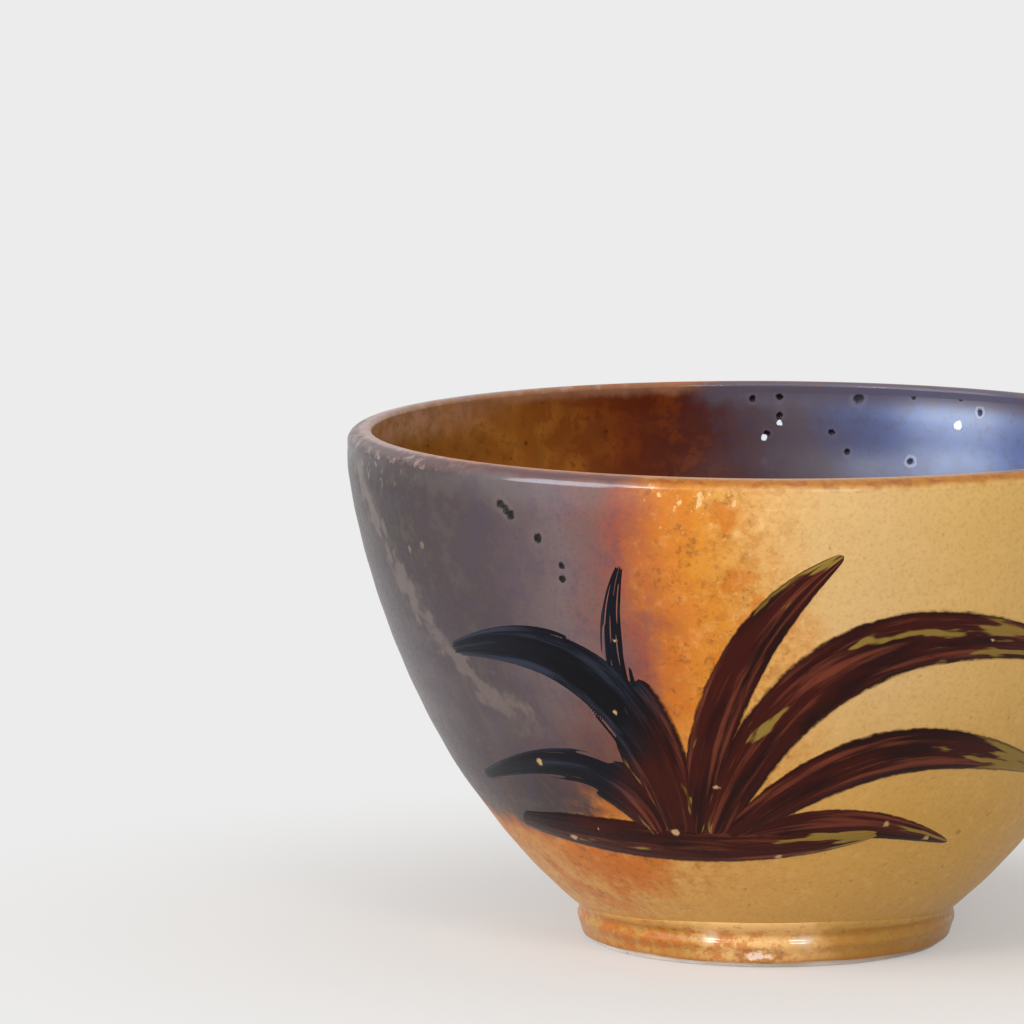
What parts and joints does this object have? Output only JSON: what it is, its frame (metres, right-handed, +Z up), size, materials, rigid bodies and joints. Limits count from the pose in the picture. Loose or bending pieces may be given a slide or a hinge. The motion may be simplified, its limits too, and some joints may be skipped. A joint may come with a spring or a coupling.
{
  "type": "matcha bowl",
  "caption": "Deep round tea bowl with a curved wall, a thick rounded lip and a low foot ring, in layered amber and slate glazes.",
  "frame": {"origin": "centre of the foot ring's standing face, on the table", "axes": "+Z up along the bowl's centre line, -Y towards the side with the brushed grass, +X to the right as seen from that side"},
  "size_m": [0.1232, 0.1232, 0.0752],
  "materials": {
    "stoneware": "bare fired clay, matte and slightly sandy",
    "amber_glaze": "satin amber glaze with rust blush and fine brown speckle",
    "iron_glaze": "glossy iron-brown glaze that breaks pale along the lip",
    "brown_glaze": "glossy amber-brown glaze with pinholes",
    "slate_glaze": "satin slate-grey glaze with iron pits",
    "brushed_iron": "glossy brushed iron glaze, indigo-black to maroon, streaked"
  },
  "bodies": {
    "root": {"bowl_body": "stoneware", "foot_ring": "stoneware", "outside_glaze": "amber_glaze", "lip_glaze": "iron_glaze", "inside_glaze": "brown_glaze", "foot_coat": "amber_glaze", "well_glaze": "amber_glaze", "slate_pour_outside": "slate_glaze", "slate_pour_inside": "slate_glaze", "brushed_grass": "brushed_iron"}
  },
  "joints": []
}
